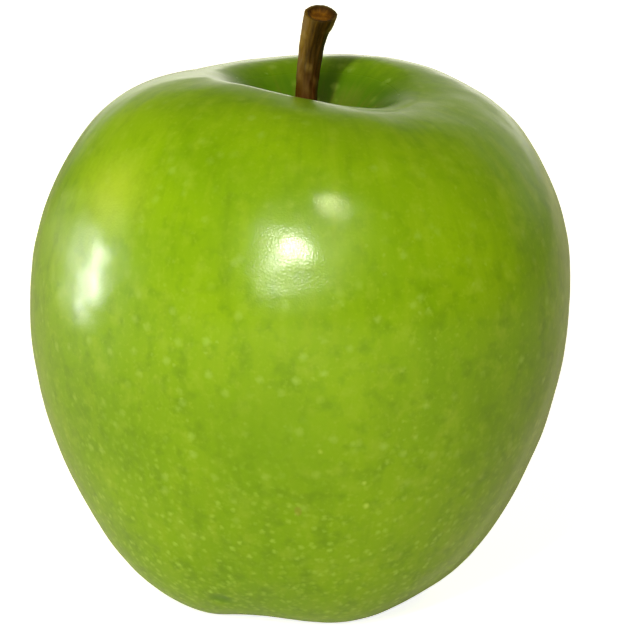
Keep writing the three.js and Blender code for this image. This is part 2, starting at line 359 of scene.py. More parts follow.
# Mottling: patches of denser and thinner pigment, 2.4 and 3.1 mm across, and a finer grain of
# 0.7 mm. It is half as strong on the shoulders, and stronger down in the hollow.
calm = add(tree, "ShaderNodeMapRange", [height, 42 * MM, 64 * MM, 1.0, 0.5])
calm = add(tree, "ShaderNodeMath", [in_hollow, 1.3, calm], operation="MULTIPLY_ADD")
for size, low, high, code, strength in (
    (2.4, 0.5, 0.72, "#648A00", 0.5),
    (3.1, 0.55, 0.78, "#B8D23E", 0.46),
    (0.7, 0.55, 0.8, "#B0CC38", 0.44),
):
    mottle = add(
        tree, "ShaderNodeTexNoise", {"Vector": place, "Scale": 1 / (size * MM), "Detail": 3.0}
    )
    factor = add(tree, "ShaderNodeMapRange", [mottle, low, high, 0.0, strength])
    factor = add(tree, "ShaderNodeMath", [factor, calm], operation="MULTIPLY")
    coats.append((factor, code))

# Deeper green towards the base, as painted shade: the lower fruit darker where less light falls
low = add(tree, "ShaderNodeMapRange", [height, 60 * MM, 34 * MM, 0.0, 0.32])
coats.append((low, "#66890A"))

# Darker green down in the hollow, which is painted shade, streaked too, and russet where the
# stalk leaves the flesh
shade = add(tree, "ShaderNodeMapRange", [in_hollow, 0.02, 0.35, 0.0, 1.0])
streaked = add(tree, "ShaderNodeMapRange", [streaks, 0.38, 0.66, 0.9, 0.78])
shade = add(tree, "ShaderNodeMath", [shade, streaked], operation="MULTIPLY")
coats.append((shade, "#528000"))
for inside, code in ((in_hollow, "#7C6A2E"), (in_basin, "#8A7D4A")):
    rough_edge = add(tree, "ShaderNodeMath", [streaks, 0.5, inside], operation="MULTIPLY_ADD")
    factor = add(tree, "ShaderNodeMapRange", [rough_edge, 0.62, 0.95, 0.0, 0.8])
    coats.append((factor, code))

# Pores: pale dots, small and crowded below, larger, fewer and fainter above. None is quite round,
# because their pattern is shifted by up to 0.35 mm, and some are paler than others.
# Each layer: the spacing of its cells, the pores' radius, the width of their soft edge, the levels
# between which they fade in, their strength and their colour. Lengths are in millimetres.
PORES = (
    (1.35, 0.62, 0.58, (38, 16), 0.6, "#BADA50"),
    (1.15, 0.54, 0.5, (17, 7), 0.42, "#BADA50"),
    (3.1, 0.95, 0.8, (12, 30), 0.5, "#B6D458"),
    (2.3, 0.42, 0.36, (20, 36), 0.34, "#B6D458"),
)
ragged = add(tree, "ShaderNodeTexNoise", {"Vector": place, "Scale": 1 / (0.6 * MM), "Detail": 2.0})
shift = add(
    tree, "ShaderNodeVectorMath", [ragged.outputs["Color"], (0.5, 0.5, 0.5)], operation="SUBTRACT"
)
shift = add(tree, "ShaderNodeVectorMath", {"Vector": shift, "Scale": 0.7 * MM}, operation="SCALE")
uneven_place = add(tree, "ShaderNodeVectorMath", [place, shift], operation="ADD")
pores = 0.0
for spacing, pore, edge, (gone, full), strength, code in PORES:
    cells = add(
        tree,
        "ShaderNodeTexVoronoi",
        {"Vector": uneven_place, "Scale": 1 / (spacing * MM)},
        feature="F1",
    )
    dot = add(
        tree,
        "ShaderNodeMapRange",
        [cells, pore / spacing, (pore - edge) / spacing, 0.0, strength],
        **SOFT,
    )
    paler = add(tree, "ShaderNodeMapRange", [cells.outputs["Color"], 0.1, 0.9, 0.3, 1.0])
    dot = add(tree, "ShaderNodeMath", [dot, paler], operation="MULTIPLY")
    fade = add(tree, "ShaderNodeMapRange", [height, gone * MM, full * MM, 0.0, 1.0])
    fade = add(tree, "ShaderNodeMath", [fade, calm], operation="MULTIPLY")
    factor = add(tree, "ShaderNodeMath", [dot, fade], operation="MULTIPLY")
    coats.append((factor, code))
    pores = add(tree, "ShaderNodeMath", [pores, factor], operation="MAXIMUM")

# Marks on the skin and painted light: a paler cheek, which is a painted glow round the window's
# highlight, a greener patch below the middle, which is painted shade, a faint scar, darker green
# in the dent, which is painted shade, and three larger pores on the front.
# Each: place, half width and half height in millimetres, where its edge starts and where it is
# full, in those, its strength and its colour.
MARKS_AND_PAINTED_LIGHT = (
    # Painted glow round the window's highlight, on the left cheek
    ((-25.1, -20.7, 61.9), 4.6, 3.6, (2.4, 0.2), 0.52, "#C8DC3C"),
    # Painted shade below the middle of the front
    ((-3.5, -37.0, 32.0), 8.0, 8.0, (1.9, 0.3), 0.5, "#78A004"),
    ((-0.2, -33.8, 21.9), 0.5, 0.9, (1.5, 0.9), 0.3, "#A07A3C"),
    # Painted shade in the dent
    ((-10.9, -21.3, 5.4), 1.7, 0.9, (1.7, 0.5), 0.8, "#548400"),
    ((8.8, -33.7, 22.6), 0.6, 0.6, (1.3, 0.3), 0.7, "#C4DA54"),
    ((8.5, -35.0, 26.1), 0.5, 0.5, (1.3, 0.3), 0.6, "#C4DA54"),
    ((2.7, -36.7, 31.0), 0.5, 0.5, (1.3, 0.3), 0.6, "#C4DA54"),
)
for mark, half_width, half_height, (start, full), strength, code in MARKS_AND_PAINTED_LIGHT:
    away = add(tree, "ShaderNodeVectorMath", [place, [c * MM for c in mark]], operation="SUBTRACT")
    away = add(
        tree,
        "ShaderNodeVectorMath",
        [away, (1 / (half_width * MM), 1 / (half_width * MM), 1 / (half_height * MM))],
        operation="MULTIPLY",
    )
    away = add(tree, "ShaderNodeVectorMath", [away], operation="LENGTH").outputs["Value"]
    away = add(tree, "ShaderNodeMath", [ragged, 0.4, away], operation="MULTIPLY_ADD")
    factor = add(tree, "ShaderNodeMapRange", [away, start, full, 0.0, strength], **SOFT)
    coats.append((factor, code))

# Every coat, laid over those before it
for factor, code in coats:
    tint = add(
        tree, "ShaderNodeMix", {"Factor": factor, "A": tint, "B": colour(code)}, data_type="RGBA"
    )

# The wax is thinner on the pores and in the hollow, so they are less glossy
dull = add(tree, "ShaderNodeMath", [pores, 0.08, 0.19], operation="MULTIPLY_ADD")
dull = add(tree, "ShaderNodeMath", [in_hollow, 0.3, dull], operation="MULTIPLY_ADD")

# Relief: grain of 0.3 mm, as the skin's cells stand up under the wax
grain = add(tree, "ShaderNodeTexNoise", {"Vector": place, "Scale": 1 / (0.3 * MM), "Detail": 2.0})
relief = add(tree, "ShaderNodeMath", [pores, 0.6, grain], operation="MULTIPLY_ADD")
bump = add(tree, "ShaderNodeBump", {"Strength": 0.5, "Distance": 0.04 * MM, "Height": relief})
wax = add(
    tree,
    "ShaderNodeBsdfPrincipled",
    {
        "Base Color": tint,
        "Roughness": dull,
        "Normal": bump,
        "IOR": 1.45,
        "Specular Tint": colour("#F8F8E8"),
        "Subsurface Weight": 0.1,
        "Subsurface Radius": (1.0, 0.8, 0.15),
        "Subsurface Scale": 1.2 * MM,
        "Coat Weight": 0.25,
        "Coat Roughness": 0.4,
        "Coat IOR": 1.4,
    },
)
add(tree, "ShaderNodeOutputMaterial", [wax])

fruit = grow("fruit_skin", bpy.data.node_groups["fruit"], skin, FRUIT_SIZES)
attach(fruit, "root")
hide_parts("fruit")

# ---- Stalk ------------------------------------------------------------------------------------
# The woody stalk that the apple hung by, grown out of the flesh in the floor of the hollow. It
# bends to one side and thickens to the knob that came off the twig, with a slanting, dished end.

# The middle line in millimetres, and the stalk's radius at each knot
STALK_KNOTS = (
    ((1.245, 0.247, 58.3), 1.6),
    ((1.245, 0.247, 61.3), 1.58),
    ((0.9, 0.247, 70.8), 1.5),
    ((1.49, 0.0, 77.3), 1.66),
    ((2.04, -0.35, 80.3), 1.84),
    ((2.89, -0.8, 83.2), 2.2),
)
STALK_SIZES = {
    "Facets round": 96,
    "Facets along": 260,
    "Steps to a knot": 24,
    "Bark share": 0.9,
    "Cut slope": (math.tan(math.radians(8)), math.tan(math.radians(13)), 0.0),
    "Cut dish": 0.55,
    "Ridge height": 0.1,
    "Ridge width": 0.5,
    "Knot height": 0.16,
    "Knot size": 2.6,
}
# How a pattern lies on the bark: what the stalk's radius of 1.6 mm counts as, twice, and what its
# length of 25 mm does. Knots are as long as they are wide, and ridges are drawn out.
RIDGE_LAY = (1.6, 1.6, 2.6)
KNOT_LAY = (1.6, 1.6, 24.0)


def line_through(name, knots):
    """A mesh with one straight edge from each knot to the next."""
    line = bpy.data.meshes.new(name)
    line.from_pydata(knots, [(i, i + 1) for i in range(len(knots) - 1)], [])
    return line


def smooth_line(tree, given):
    """The start mesh as one curve that bends smoothly through its knots."""
    line = add(tree, "GeometryNodeMeshToCurve", [given["Start"]])
    line = add(tree, "GeometryNodeCurveSplineType", {"Curve": line}, spline_type="CATMULL_ROM")
    steps = {"Geometry": line, "Resolution": given["Steps to a knot"]}
    return add(tree, "GeometryNodeSetSplineResolution", steps)


tree, given = new_tree("stalk", STALK_SIZES)
line = smooth_line(tree, given)
girth = add(tree, "GeometryNodeInputNamedAttribute", ["girth"], data_type="FLOAT")
sheet, _, cosine, sine, whole = new_sheet(tree, given)
along = add(tree, "ShaderNodeMapRange", [whole, 0.0, given["Bark share"], 0.0, 1.0])
# Past the bark's end the facets turn in over the rim, 1 at the middle of the cut
inwards = add(tree, "ShaderNodeMapRange", [whole, given["Bark share"], 1.0, 0.0, 1.0])
spine = add(
    tree,
    "GeometryNodeSampleCurve",
    {"Curves": line, "Value": girth, "Factor": along},
    mode="FACTOR",
    use_all_curves=True,
)
radius = spine.outputs["Value"]

# Bark: ridges that run with the grain, and knots where bracts fell off
ring = add(tree, "ShaderNodeCombineXYZ", [cosine, sine, along])
ridges = add(tree, "ShaderNodeVectorMath", [ring, RIDGE_LAY], operation="MULTIPLY")
frequency = add(tree, "ShaderNodeMath", [1.0, given["Ridge width"]], operation="DIVIDE")
ridges = add(tree, "ShaderNodeTexNoise", {"Vector": ridges, "Scale": frequency, "Detail": 3.0})
ridges = add(tree, "ShaderNodeMapRange", [ridges, 0.3, 0.7, -1.0, 1.0])
ridges = add(tree, "ShaderNodeMath", [ridges, given["Ridge height"]], operation="MULTIPLY")
bracts = add(tree, "ShaderNodeVectorMath", [ring, KNOT_LAY], operation="MULTIPLY")
frequency = add(tree, "ShaderNodeMath", [1.0, given["Knot size"]], operation="DIVIDE")
bracts = add(tree, "ShaderNodeTexNoise", {"Vector": bracts, "Scale": frequency, "Detail": 1.0})
bracts = add(tree, "ShaderNodeMapRange", [bracts, 0.52, 0.72, 0.0, 1.0])
relief = add(
    tree, "ShaderNodeMath", [bracts, given["Knot height"], ridges], operation="MULTIPLY_ADD"
)
radius = add(tree, "ShaderNodeMath", [radius, relief], operation="ADD")

# The foot closed inside the flesh, and the cut: its rim turned in, then the pith sunk in a dish
foot = add(tree, "ShaderNodeMapRange", [whole, 0.0, 0.01, 0.0, 1.0])
closing = add(tree, "ShaderNodeMath", [1.0, inwards], operation="SUBTRACT")
for factor in (closing, foot):
    radius = add(tree, "ShaderNodeMath", [radius, factor], operation="MULTIPLY")
dish = add(tree, "ShaderNodeMapRange", [inwards, 0.12, 0.5, 0.0, 1.0], **SOFT)
dish = add(tree, "ShaderNodeMath", [dish, given["Cut dish"]], operation="MULTIPLY")
across_x = add(tree, "ShaderNodeMath", [radius, cosine], operation="MULTIPLY")
across_y = add(tree, "ShaderNodeMath", [radius, sine], operation="MULTIPLY")
near_end = add(tree, "ShaderNodeMapRange", [along, 0.8, 1.0, 0.0, 1.0], **SOFT)
across = add(tree, "ShaderNodeCombineXYZ", [across_x, across_y, 0.0])
slope = add(tree, "ShaderNodeVectorMath", [across, given["Cut slope"]], operation="DOT_PRODUCT")
slope = add(tree, "ShaderNodeMath", [slope.outputs["Value"], near_end], operation="MULTIPLY")
lift = add(tree, "ShaderNodeMath", [slope, dish], operation="SUBTRACT")
offset = add(tree, "ShaderNodeCombineXYZ", [across_x, across_y, lift])
turn = add(
    tree,
    "FunctionNodeAlignRotationToVector",
    {"Vector": spine.outputs["Tangent"]},
    axis="Z",
    pivot_axis="AUTO",
)
offset = add(tree, "FunctionNodeRotateVector", [offset, turn])
corner = add(tree, "ShaderNodeVectorMath", [spine.outputs["Position"], offset], operation="ADD")
fields = (("grain", "FLOAT_VECTOR", ring), ("cut", "FLOAT", inwards), ("knots", "FLOAT", bracts))
close_sheet(tree, given, sheet, corner, fields)

# Dry stalk bark: dark brown and slightly shiny, with painted light that turns the side towards the
# window tan, reddish at its foot. The cut end shows orange-brown wood inside a dark rim of bark.
bark = bpy.data.materials.new("dry_stalk_bark")
tree = shader_tree(bark)
place = add(tree, "ShaderNodeTexCoord").outputs["Object"]
height = add(tree, "ShaderNodeSeparateXYZ", [place]).outputs["Z"]
grain = add(tree, "ShaderNodeAttribute", attribute_name="grain").outputs["Vector"]
cut = add(tree, "ShaderNodeAttribute", attribute_name="cut").outputs["Fac"]
knots = add(tree, "ShaderNodeAttribute", attribute_name="knots").outputs["Fac"]
side = add(tree, "ShaderNodeSeparateXYZ", [grain]).outputs["X"]
# Fibres 0.3 mm wide and 3 mm long
FIBRE_LAY = (5.0, 5.0, 8.0)
fibres = add(tree, "ShaderNodeVectorMath", [grain, FIBRE_LAY], operation="MULTIPLY")
fibres = add(tree, "ShaderNodeTexNoise", {"Vector": fibres, "Scale": 1.0, "Detail": 4.0})
factor = add(tree, "ShaderNodeMapRange", [fibres, 0.35, 0.65, 0.0, 1.0])
tint = add(
    tree,
    "ShaderNodeMix",
    {"Factor": factor, "A": colour("#241602"), "B": colour("#462E00")},
    data_type="RGBA",
)
# Painted light: the side towards the window is paler tan
painted_lit_side = add(tree, "ShaderNodeMath", [side, -1.0], operation="MULTIPLY")
painted_lit_side = add(tree, "ShaderNodeMath", [fibres, 0.9, painted_lit_side], operation="MULTIPLY_ADD")
painted_lit_side = add(tree, "ShaderNodeMapRange", [painted_lit_side, 0.55, 1.25, 0.0, 0.8])
pale = add(tree, "ShaderNodeMath", [knots, 0.55], operation="MULTIPLY")
foot = add(tree, "ShaderNodeMapRange", [height, 77 * MM, 71 * MM, 0.0, 0.85])
wood = add(tree, "ShaderNodeTexNoise", {"Vector": place, "Scale": 1 / (0.7 * MM), "Detail": 3.0})
factor = add(tree, "ShaderNodeMapRange", [wood, 0.35, 0.65, 0.0, 1.0])
wood = add(
    tree,
    "ShaderNodeMix",
    {"Factor": factor, "A": colour("#6A3C06"), "B": colour("#A06A18")},
    data_type="RGBA",
)
# From the rim in: bark, then a ring of dark wood that is partly painted shade inside the dish, then
# the paler pith
inside = add(tree, "ShaderNodeMapRange", [cut, 0.1, 0.2, 0.0, 1.0])
pith = add(tree, "ShaderNodeMath", [fibres, 0.5, cut], operation="MULTIPLY_ADD")
pith = add(tree, "ShaderNodeMapRange", [pith, 0.5, 0.8, 0.0, 1.0])
for factor, coat in (
    (painted_lit_side, colour("#7C5C10")),
    (pale, colour("#9A8038")),
    (foot, colour("#4C2000")),
    (inside, colour("#3E2406")),
    (pith, wood),
):
    tint = add(tree, "ShaderNodeMix", {"Factor": factor, "A": tint, "B": coat}, data_type="RGBA")
fine = add(tree, "ShaderNodeTexNoise", {"Vector": place, "Scale": 1 / (0.25 * MM), "Detail": 3.0})
relief = add(tree, "ShaderNodeMath", [fibres, 2.0, fine], operation="MULTIPLY_ADD")
bump = add(tree, "ShaderNodeBump", {"Strength": 0.6, "Distance": 0.08 * MM, "Height": relief})
dry = add(
    tree,
    "ShaderNodeBsdfPrincipled",
    {
        "Base Color": tint,
        "Roughness": add(tree, "ShaderNodeMapRange", [fibres, 0.3, 0.7, 0.45, 0.65]),
        "Normal": bump,
        "IOR": 1.4,
        "Specular Tint": colour("#F0D8A0"),
    },
)
add(tree, "ShaderNodeOutputMaterial", [dry])

middle_line = line_through("stalk_middle_line", [knot for knot, _ in STALK_KNOTS])
girths = middle_line.attributes.new("girth", "FLOAT", "POINT")
girths.data.foreach_set("value", [r for _, r in STALK_KNOTS])
stalk = grow("stalk_bark", bpy.data.node_groups["stalk"], bark, STALK_SIZES, middle_line)
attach(stalk, "root")
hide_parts("stem")

# ---- Sepals -----------------------------------------------------------------------------------
# What is left of the flower in the basin under the fruit: five dried sepals that close in over the
# stamens and curl back at their tips, on the tough collar that they grew from. All of it is downy.

# The spine of one sepal, in millimetres out from the middle of the eye and down out of the flesh
SEPAL_SPINE = ((2.5, 0, -0.6), (2.45, 0, 0.5), (2.3, 0, 2.0), (3.35, 0, 3.45), (5.1, 0, 4.0))
SEPAL_SIZES = {
    "Facets round": 28,
    "Facets along": 40,
    "Steps to a knot": 16,
    "Sepals": 5,
    "Width": 2.7,
    "Thickness": 0.5,
    "Tip share": 0.12,
    "Cup": 0.14,
    "Collar radius": 2.5,
    "Collar wall": 0.6,
    "Collar depth": 1.45,
    "Collar place": (0.0, 0.0, -0.95),
    "Crumple height": 0.22,
    "Crumple size": 1.3,
    "Hairs to a square millimetre": 5.0,
    "Hair length": 0.75,
    "Hair radius": 0.022,
    "Place": (-0.475, 0.247, 6.7),
    "Seed": 3,
    "Opening seed": 11,
    "Length seed": 12,
    "Hair lean seed": 13,
    "Hair length seed": 14,
}


def place_in_eye(tree, given, parts):
    """Turns parts upside down, into their place in the basin, and ends the tree."""
    together = add(tree, "GeometryNodeJoinGeometry")
    for part in parts:
        tree.links.new(part.outputs[0], together.inputs[0])
    placed = add(
        tree,
        "GeometryNodeTransform",
        {"Geometry": together, "Translation": given["Place"], "Rotation": (math.pi, 0.0, 0.0)},
    )
    placed = add(tree, "GeometryNodeTransform", {"Geometry": placed, "Scale": (MM, MM, MM)})
    close_tree(tree, given, placed)


tree, given = new_tree("sepals", SEPAL_SIZES)
line = smooth_line(tree, given)

# One blade: a flattened tube along the spine, drawn in to nothing at both ends
sheet, _, cosine, sine, along = new_sheet(tree, given)
spine = add(
    tree,
    "GeometryNodeSampleCurve",
    {"Curves": line, "Factor": along},
    mode="FACTOR",
    use_all_curves=True,
)
taper = add(tree, "ShaderNodeMapRange", [along, 0.3, 1.0, 1.0, given["Tip share"]], **SOFT)
root = add(tree, "ShaderNodeMapRange", [along, 0.0, 0.04, 0.0, 1.0])
tip = add(tree, "ShaderNodeMapRange", [along, 1.0, 0.96, 0.0, 1.0])
ends = add(tree, "ShaderNodeMath", [root, tip], operation="MULTIPLY")
taper = add(tree, "ShaderNodeMath", [taper, ends], operation="MULTIPLY")
across, through = cosine, sine
for factor in (given["Width"], 0.5, taper):
    across = add(tree, "ShaderNodeMath", [across, factor], operation="MULTIPLY")
for factor in (given["Thickness"], -0.5, ends):
    through = add(tree, "ShaderNodeMath", [through, factor], operation="MULTIPLY")
cup = add(tree, "ShaderNodeMath", [across, across], operation="MULTIPLY")
cup = add(tree, "ShaderNodeMath", [cup, given["Cup"]], operation="MULTIPLY")
through = add(tree, "ShaderNodeMath", [through, cup], operation="SUBTRACT")
outwards = add(
    tree,
    "ShaderNodeVectorMath",
    [(0.0, 1.0, 0.0), spine.outputs["Tangent"]],
    operation="CROSS_PRODUCT",
)
outwards = add(
    tree, "ShaderNodeVectorMath", {"Vector": outwards, "Scale": through}, operation="SCALE"
)
sideways = add(tree, "ShaderNodeCombineXYZ", {"Y": across})
corner = add(tree, "ShaderNodeVectorMath", [spine.outputs["Position"], outwards], operation="ADD")
corner = add(tree, "ShaderNodeVectorMath", [corner, sideways], operation="ADD")
blade = add(tree, "GeometryNodeSetPosition", {"Geometry": sheet, "Position": corner})
blade = add(tree, "GeometryNodeMergeByDistance", {"Geometry": blade, "Distance": WELD})

# Five of them round the collar, each turned, lengthened and opened by its own small amount
ring = add(tree, "GeometryNodeMeshLine", {"Count": given["Sepals"], "Offset": (0.0, 0.0, 0.0)})
index = add(tree, "GeometryNodeInputIndex")
turned = add(tree, "ShaderNodeMath", [index, 2 * math.pi], operation="MULTIPLY")
turned = add(tree, "ShaderNodeMath", [turned, given["Sepals"]], operation="DIVIDE")
astray = add(tree, "FunctionNodeRandomValue", {"Min": -0.06, "Max": 0.06, "Seed": given["Seed"]})
turned = add(tree, "ShaderNodeMath", [astray, turned], operation="ADD")
opened = add(
    tree, "FunctionNodeRandomValue", {"Min": -0.06, "Max": 0.1, "Seed": given["Opening seed"]}
)
turn = add(tree, "ShaderNodeCombineXYZ", [0.0, opened, turned])
length = add(
    tree, "FunctionNodeRandomValue", {"Min": 0.9, "Max": 1.06, "Seed": given["Length seed"]}
)
size = add(tree, "ShaderNodeCombineXYZ", [1.0, 1.0, length])
blades = add(
    tree,
    "GeometryNodeInstanceOnPoints",
    {"Points": ring, "Instance": blade, "Rotation": turn, "Scale": size},
)
collar_line = add(
    tree, "GeometryNodeCurvePrimitiveCircle", {"Resolution": 64, "Radius": given["Collar radius"]}
)
collar_wall = add(tree, "GeometryNodeCurvePrimitiveCircle", {"Resolution": 24, "Radius": 1.0})
wall = add(tree, "ShaderNodeCombineXYZ", [given["Collar wall"], given["Collar depth"], 1.0])
collar_wall = add(tree, "GeometryNodeTransform", {"Geometry": collar_wall, "Scale": wall})
collar = add(tree, "GeometryNodeCurveToMesh", {"Curve": collar_line, "Profile Curve": collar_wall})
collar = add(
    tree, "GeometryNodeTransform", {"Geometry": collar, "Translation": given["Collar place"]}
)
together = add(tree, "GeometryNodeJoinGeometry")
for part in (blades, collar):
    tree.links.new(part.outputs[0], together.inputs[0])
together = add(tree, "GeometryNodeRealizeInstances", [together])

# Crumpled as they dried
here = add(tree, "GeometryNodeInputPosition")
frequency = add(tree, "ShaderNodeMath", [1.0, given["Crumple size"]], operation="DIVIDE")
crumple = add(tree, "ShaderNodeTexNoise", {"Vector": here, "Scale": frequency, "Detail": 2.0})
crumple = add(
    tree, "ShaderNodeVectorMath", [crumple.outputs["Color"], (0.5, 0.5, 0.5)], operation="SUBTRACT"
)
amount = add(tree, "ShaderNodeMath", [given["Crumple height"], 2.0], operation="MULTIPLY")
crumple = add(tree, "ShaderNodeVectorMath", {"Vector": crumple, "Scale": amount}, operation="SCALE")
crumpled = add(tree, "GeometryNodeSetPosition", {"Geometry": together, "Offset": crumple})

# Down: short pale hairs that stand out of every face and lean a little
spots = add(
    tree,
    "GeometryNodeDistributePointsOnFaces",
    {"Mesh": crumpled, "Density": given["Hairs to a square millimetre"], "Seed": given["Seed"]},
)
hair = add(
    tree,
    "GeometryNodeMeshCone",
    {
        "Vertices": 3,
        "Radius Top": 0.0,
        "Radius Bottom": given["Hair radius"],
        "Depth": given["Hair length"],
    },
)
hair = add(
    tree,
    "GeometryNodeStoreNamedAttribute",
    {"Geometry": hair, "Name": "down", "Value": 1.0},
    data_type="FLOAT",
    domain="POINT",
)
lean = add(
    tree,
    "FunctionNodeRandomValue",
    {"Min": (-0.7, -0.7, 0.0), "Max": (0.7, 0.7, 3.0), "Seed": given["Hair lean seed"]},
    data_type="FLOAT_VECTOR",
)
lean = add(tree, "FunctionNodeEulerToRotation", [lean])
lean = add(
    tree, "FunctionNodeRotateRotation", [spots.outputs["Rotation"], lean], rotation_space="LOCAL"
)
long = add(
    tree, "FunctionNodeRandomValue", {"Min": 0.5, "Max": 1.2, "Seed": given["Hair length seed"]}
)
down = add(
    tree,
    "GeometryNodeInstanceOnPoints",
    {"Points": spots, "Instance": hair, "Rotation": lean, "Scale": long},
)
place_in_eye(tree, given, (crumpled, down))

# Dried sepal: thin dead leaf, brown with darker veins and edges. Its grey down softens every edge
# and takes the shine off it.
dead_leaf = bpy.data.materials.new("dried_downy_sepal")
tree = shader_tree(dead_leaf)
place = add(tree, "ShaderNodeTexCoord").outputs["Object"]
down = add(tree, "ShaderNodeAttribute", attribute_name="down").outputs["Fac"]
blotches = add(
    tree, "ShaderNodeTexNoise", {"Vector": place, "Scale": 1 / (1.4 * MM), "Detail": 4.0}
)
factor = add(tree, "ShaderNodeMapRange", [blotches, 0.35, 0.65, 0.0, 1.0])
tint = add(
    tree,
    "ShaderNodeMix",
    {"Factor": factor, "A": colour("#3A2A16"), "B": colour("#7A6840")},
    data_type="RGBA",
)
tint = add(
    tree, "ShaderNodeMix", {"Factor": down, "A": tint, "B": colour("#B5AB8C")}, data_type="RGBA"
)
veins = add(tree, "ShaderNodeTexNoise", {"Vector": place, "Scale": 1 / (0.35 * MM), "Detail": 4.0})
bump = add(tree, "ShaderNodeBump", {"Strength": 0.7, "Distance": 0.1 * MM, "Height": veins})
papery = add(
    tree,
    "ShaderNodeBsdfPrincipled",
    {
        "Base Color": tint,
        "Roughness": 0.85,
        "Normal": bump,
        "Sheen Weight": 0.3,
        "Sheen Roughness": 0.5,
    },
)
add(tree, "ShaderNodeOutputMaterial", [papery])

sepal_spine = line_through("sepal_spine", SEPAL_SPINE)
sepals = grow("sepal_crown", bpy.data.node_groups["sepals"], dead_leaf, SEPAL_SIZES, sepal_spine)
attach(sepals, "root")
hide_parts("sepals")

# ---- Stamens ----------------------------------------------------------------------------------
# The dead threads of the flower, dried hard on the pad inside the collar, each with the swollen end
# that held its pollen. They bend where they dried against each other.

STAMEN_SIZES = {
    "Facets round": 12,
    "Facets along": 32,
    "Stamens": 12,
    "Radius": 0.22,
    "Height": 4.4,
    "Spread": 1.0,
    "Foot level": -1.7,
    "Outward tilt": math.radians(5),
    "Bend": 0.35,
    "Pad radius": 1.6,
    "Pad place": (0.0, 0.0, -1.8),
    "Pad scale": (1.0, 1.0, 0.36),
    "Place": (-0.475, 0.247, 6.7),
    "Seed": 5,
}
tree, given = new_tree("stamens", STAMEN_SIZES)

# One thread: a tube that thins upwards and ends in a knob
sheet, _, cosine, sine, along = new_sheet(tree, given)
thinning = add(tree, "ShaderNodeMapRange", [along, 0.0, 0.8, 1.0, 0.6])
knob = add(tree, "ShaderNodeMapRange", [along, 0.8, 1.0, 0.0, math.pi])
knob = add(tree, "ShaderNodeMath", [knob], operation="SINE")
girth = add(tree, "ShaderNodeMath", [knob, 0.75, thinning], operation="MULTIPLY_ADD")
closed = add(tree, "ShaderNodeMapRange", [along, 1.0, 0.97, 0.0, 1.0])
foot = add(tree, "ShaderNodeMapRange", [along, 0.0, 0.02, 0.0, 1.0])
for factor in (closed, foot, given["Radius"]):
    girth = add(tree, "ShaderNodeMath", [girth, factor], operation="MULTIPLY")
corner = [
    add(tree, "ShaderNodeMath", pair, operation="MULTIPLY")
    for pair in ((girth, cosine), (girth, sine), (along, given["Height"]))
]
corner = add(tree, "ShaderNodeCombineXYZ", corner)
thread = add(tree, "GeometryNodeSetPosition", {"Geometry": sheet, "Position": corner})
thread = add(tree, "GeometryNodeMergeByDistance", {"Geometry": thread, "Distance": WELD})

# All of them, in a sunflower spiral over the pad, leaning outwards
count = given["Stamens"]
spiral = add(tree, "GeometryNodeMeshLine", {"Count": count, "Offset": (0.0, 0.0, 0.0)})
index = add(tree, "GeometryNodeInputIndex")
out = add(tree, "ShaderNodeMath", [index, 0.5], operation="ADD")
out = add(tree, "ShaderNodeMath", [out, count], operation="DIVIDE")
out = add(tree, "ShaderNodeMath", [out], operation="SQRT")
golden = add(tree, "ShaderNodeMath", [index, math.pi * (3 - math.sqrt(5))], operation="MULTIPLY")
reach = add(tree, "ShaderNodeMath", [out, given["Spread"]], operation="MULTIPLY")
spot = []
for part in ("COSINE", "SINE"):
    direction = add(tree, "ShaderNodeMath", [golden], operation=part)
    spot.append(add(tree, "ShaderNodeMath", [reach, direction], operation="MULTIPLY"))
spot = add(tree, "ShaderNodeCombineXYZ", [*spot, given["Foot level"]])
spiral = add(tree, "GeometryNodeSetPosition", {"Geometry": spiral, "Position": spot})
tilt = add(tree, "ShaderNodeMath", [out, given["Outward tilt"]], operation="MULTIPLY")
turn = add(tree, "ShaderNodeCombineXYZ", [0.0, tilt, golden])
tall = add(tree, "FunctionNodeRandomValue", {"Min": 0.86, "Max": 1.1, "Seed": given["Seed"]})
size = add(tree, "ShaderNodeCombineXYZ", [1.0, 1.0, tall])
threads = add(
    tree,
    "GeometryNodeInstanceOnPoints",
    {"Points": spiral, "Instance": thread, "Rotation": turn, "Scale": size},
)
threads = add(tree, "GeometryNodeRealizeInstances", [threads])

# Bent where they are free, and set in the pad
here = add(tree, "GeometryNodeInputPosition")
bend = add(tree, "ShaderNodeTexNoise", {"Vector": here, "Scale": 0.6, "Detail": 1.0})
bend = add(
    tree, "ShaderNodeVectorMath", [bend.outputs["Color"], (0.5, 0.5, 0.5)], operation="SUBTRACT"
)
free = add(tree, "ShaderNodeSeparateXYZ", [here])
free = add(tree, "ShaderNodeMapRange", [free.outputs["Z"], -1.2, 2.8, 0.0, 2.0])
free = add(tree, "ShaderNodeMath", [free, given["Bend"]], operation="MULTIPLY")
bend = add(tree, "ShaderNodeVectorMath", {"Vector": bend, "Scale": free}, operation="SCALE")
threads = add(tree, "GeometryNodeSetPosition", {"Geometry": threads, "Offset": bend})
pad = add(
    tree, "GeometryNodeMeshUVSphere", {"Segments": 32, "Rings": 16, "Radius": given["Pad radius"]}
)
pad = add(
    tree,
    "GeometryNodeTransform",
    {"Geometry": pad, "Translation": given["Pad place"], "Scale": given["Pad scale"]},
)
place_in_eye(tree, given, (threads, pad))

